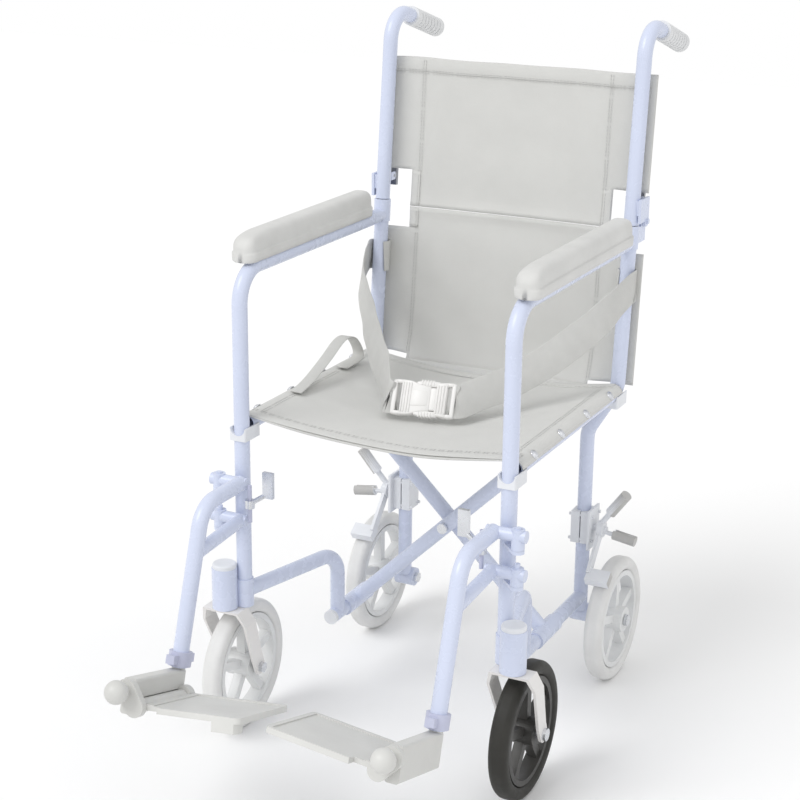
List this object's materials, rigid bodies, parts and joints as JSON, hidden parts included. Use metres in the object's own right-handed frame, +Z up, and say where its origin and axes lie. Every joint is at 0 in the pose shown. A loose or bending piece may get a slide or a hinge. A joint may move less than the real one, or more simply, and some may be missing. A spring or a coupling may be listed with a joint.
{
  "type": "transport wheelchair",
  "caption": "Folding transport wheelchair: X-braced tube frame, sling seat and back, push handles, padded arms, small spoked wheels, swing-away leg rests with footplates, lap belt.",
  "frame": {"origin": "middle of the floor rectangle under the whole chair, with the wheels standing on z = 0", "axes": "+X is the sitter's left, +Y points backwards towards the push handles, +Z is up"},
  "size_m": [0.5236, 0.9792, 1.019],
  "materials": {
    "frame_paint": "satin pale metallic paint",
    "bright_metal": "bright plated steel",
    "fork_metal": "satin pale grey",
    "pale_plastic": "moulded, satin",
    "arm_pad": "moulded skin, semi-gloss",
    "grip_rubber": "ribbed",
    "wheel_grey": "moulded, satin",
    "tyre_grey": "smooth",
    "wheel_black": "moulded, satin",
    "tyre_black": "smooth",
    "upholstery": "woven nylon",
    "webbing": "woven strap",
    "buckle": "moulded"
  },
  "bodies": {
    "frame_right": {"front_upright_right": "frame_paint", "rear_post_right": "frame_paint", "front_rail_right": "frame_paint", "lower_rail_right": "frame_paint", "caster_housing_right": "frame_paint", "plastic_fittings_right": "pale_plastic", "arm_pad_right": "arm_pad", "frame_brackets_right": "frame_paint", "brake_bracket_right": "pale_plastic", "rear_axle_right": "bright_metal", "back_sling_lower": "upholstery", "seat_belt": "webbing", "buckle": "buckle"},
    "frame_left": {"front_upright_left": "frame_paint", "rear_post_left": "frame_paint", "front_rail_left": "frame_paint", "lower_rail_left": "frame_paint", "caster_housing_left": "frame_paint", "plastic_fittings_left": "pale_plastic", "arm_pad_left": "arm_pad", "frame_brackets_left": "frame_paint", "brake_bracket_left": "pale_plastic", "rear_axle_left": "bright_metal"},
    "brace_a": {"cross_bar_a": "frame_paint", "cross_bolt": "bright_metal", "seat_rail_left": "frame_paint", "seat_sling": "upholstery"},
    "brace_b": {"cross_bar_b": "frame_paint", "seat_rail_right": "frame_paint"},
    "back_left": {"upper_cane_left": "frame_paint", "grip_left": "grip_rubber"},
    "release_left": {"release_lever_left": "pale_plastic"},
    "caster_left": {"caster_fork_left": "fork_metal", "caster_axle_left": "bright_metal"},
    "front_wheel_left": {"caster_wheel_left": "wheel_black", "caster_tyre_left": "tyre_black"},
    "back_wheel_left": {"rear_wheel_left": "wheel_grey", "rear_tyre_left": "tyre_grey"},
    "brake_left": {"brake_lever_left": "pale_plastic"},
    "leg_rest_left": {"hanger_left": "frame_paint", "hanger_clamp_left": "pale_plastic"},
    "latch_left": {"hanger_latch_left": "bright_metal"},
    "foot_rest_left": {"footrest_block_left": "pale_plastic"},
    "foot_plate_left": {"footplate_left": "pale_plastic"},
    "back_right": {"upper_cane_right": "frame_paint", "grip_right": "grip_rubber", "back_sling_upper": "upholstery"},
    "release_right": {"release_lever_right": "pale_plastic"},
    "caster_right": {"caster_fork_right": "fork_metal", "caster_axle_right": "bright_metal"},
    "front_wheel_right": {"caster_wheel_right": "wheel_grey", "caster_tyre_right": "tyre_grey"},
    "back_wheel_right": {"rear_wheel_right": "wheel_grey", "rear_tyre_right": "tyre_grey"},
    "brake_right": {"brake_lever_right": "pale_plastic"},
    "leg_rest_right": {"hanger_right": "frame_paint", "hanger_clamp_right": "pale_plastic"},
    "latch_right": {"hanger_latch_right": "bright_metal"},
    "foot_rest_right": {"footrest_block_right": "pale_plastic"},
    "foot_plate_right": {"footplate_right": "pale_plastic"}
  },
  "joints": [
    {"name": "fold", "type": "hinge", "parent": "frame_right", "child": "brace_a", "pos_m": [-0.155, 0.12729, 0.129], "axis": [0, -1, 0], "range_deg": [0, 25], "deforming": ["seat_sling", "back_sling_lower", "back_sling_upper", "seat_belt", "buckle"]},
    {"name": "cross_pivot", "type": "hinge", "parent": "brace_a", "child": "brace_b", "pos_m": [0, 0.12729, 0.2806], "axis": [0, -1, 0], "range_deg": [-50, 0]},
    {"name": "left_side_fold", "type": "hinge", "parent": "brace_b", "child": "frame_left", "pos_m": [0.155, 0.12729, 0.129], "axis": [0, -1, 0], "range_deg": [0, 25]},
    {"name": "back_fold_left", "type": "hinge", "parent": "frame_left", "child": "back_left", "pos_m": [0.2189, 0.32312, 0.732], "axis": [-1, 0, 0], "range_deg": [0, 140]},
    {"name": "back_release_left", "type": "hinge", "parent": "back_left", "child": "release_left", "pos_m": [0.2049, 0.32105, 0.762], "axis": [1, 0, 0], "range_deg": [0, 15], "stiffness_Nm_per_rad": 0.5},
    {"name": "caster_swivel_left", "type": "hinge", "parent": "frame_left", "child": "caster_left", "pos_m": [0.22583, -0.15464, 0.238], "axis": [0, 0, 1], "continuous": true},
    {"name": "caster_roll_left", "type": "hinge", "parent": "caster_left", "child": "front_wheel_left", "pos_m": [0.22583, -0.10764, 0.0985], "axis": [1, 0, 0], "continuous": true},
    {"name": "rear_roll_left", "type": "hinge", "parent": "frame_left", "child": "back_wheel_left", "pos_m": [0.207, 0.29929, 0.0985], "axis": [1, 0, 0], "continuous": true},
    {"name": "wheel_lock_left", "type": "hinge", "parent": "frame_left", "child": "brake_left", "pos_m": [0.189, 0.28529, 0.25], "axis": [1, 0, 0], "range_deg": [-20, 2.8]},
    {"name": "leg_rest_swing_left", "type": "hinge", "parent": "frame_left", "child": "leg_rest_left", "pos_m": [0.2289, -0.15771, 0.3775], "axis": [0, 0, 1], "range_deg": [0, 90]},
    {"name": "latch_left", "type": "hinge", "parent": "leg_rest_left", "child": "latch_left", "pos_m": [0.178, -0.15971, 0.3775], "axis": [0, 0, -1], "range_deg": [0, 20], "stiffness_Nm_per_rad": 0.4},
    {"name": "foot_height_left", "type": "slide", "parent": "leg_rest_left", "child": "foot_rest_left", "axis": [0, -0.3108, -0.9505], "range_m": [0, 0.04]},
    {"name": "foot_flip_left", "type": "hinge", "parent": "foot_rest_left", "child": "foot_plate_left", "pos_m": [0.1775, -0.39409, 0.17754], "axis": [0, 0.9563, -0.2924], "range_deg": [0, 78]},
    {"name": "back_fold_right", "type": "hinge", "parent": "frame_right", "child": "back_right", "pos_m": [-0.2189, 0.32312, 0.732], "axis": [-1, 0, 0], "range_deg": [0, 140], "deforming": ["back_sling_lower"]},
    {"name": "back_release_right", "type": "hinge", "parent": "back_right", "child": "release_right", "pos_m": [-0.2049, 0.32105, 0.762], "axis": [1, 0, 0], "range_deg": [0, 15], "stiffness_Nm_per_rad": 0.5},
    {"name": "caster_swivel_right", "type": "hinge", "parent": "frame_right", "child": "caster_right", "pos_m": [-0.22583, -0.15464, 0.238], "axis": [0, 0, 1], "continuous": true},
    {"name": "caster_roll_right", "type": "hinge", "parent": "caster_right", "child": "front_wheel_right", "pos_m": [-0.22583, -0.10764, 0.0985], "axis": [1, 0, 0], "continuous": true},
    {"name": "rear_roll_right", "type": "hinge", "parent": "frame_right", "child": "back_wheel_right", "pos_m": [-0.207, 0.29929, 0.0985], "axis": [1, 0, 0], "continuous": true},
    {"name": "wheel_lock_right", "type": "hinge", "parent": "frame_right", "child": "brake_right", "pos_m": [-0.189, 0.28529, 0.25], "axis": [1, 0, 0], "range_deg": [-20, 2.8]},
    {"name": "leg_rest_swing_right", "type": "hinge", "parent": "frame_right", "child": "leg_rest_right", "pos_m": [-0.2289, -0.15771, 0.3775], "axis": [0, 0, -1], "range_deg": [0, 90]},
    {"name": "latch_right", "type": "hinge", "parent": "leg_rest_right", "child": "latch_right", "pos_m": [-0.178, -0.15971, 0.3775], "axis": [0, 0, 1], "range_deg": [0, 20], "stiffness_Nm_per_rad": 0.4},
    {"name": "foot_height_right", "type": "slide", "parent": "leg_rest_right", "child": "foot_rest_right", "axis": [0, -0.3108, -0.9505], "range_m": [0, 0.04]},
    {"name": "foot_flip_right", "type": "hinge", "parent": "foot_rest_right", "child": "foot_plate_right", "pos_m": [-0.1775, -0.39409, 0.17754], "axis": [0, -0.9563, 0.2924], "range_deg": [0, 78]}
  ],
  "couplings": [
    {"joint": "cross_pivot", "follows": "fold", "ratio": -2},
    {"joint": "left_side_fold", "follows": "fold", "ratio": 1},
    {"joint": "foot_flip_left", "follows": "fold", "ratio": 3.12},
    {"joint": "foot_flip_right", "follows": "fold", "ratio": 3.12},
    {"joint": "back_fold_left", "follows": "back_fold_right", "ratio": 1}
  ]
}
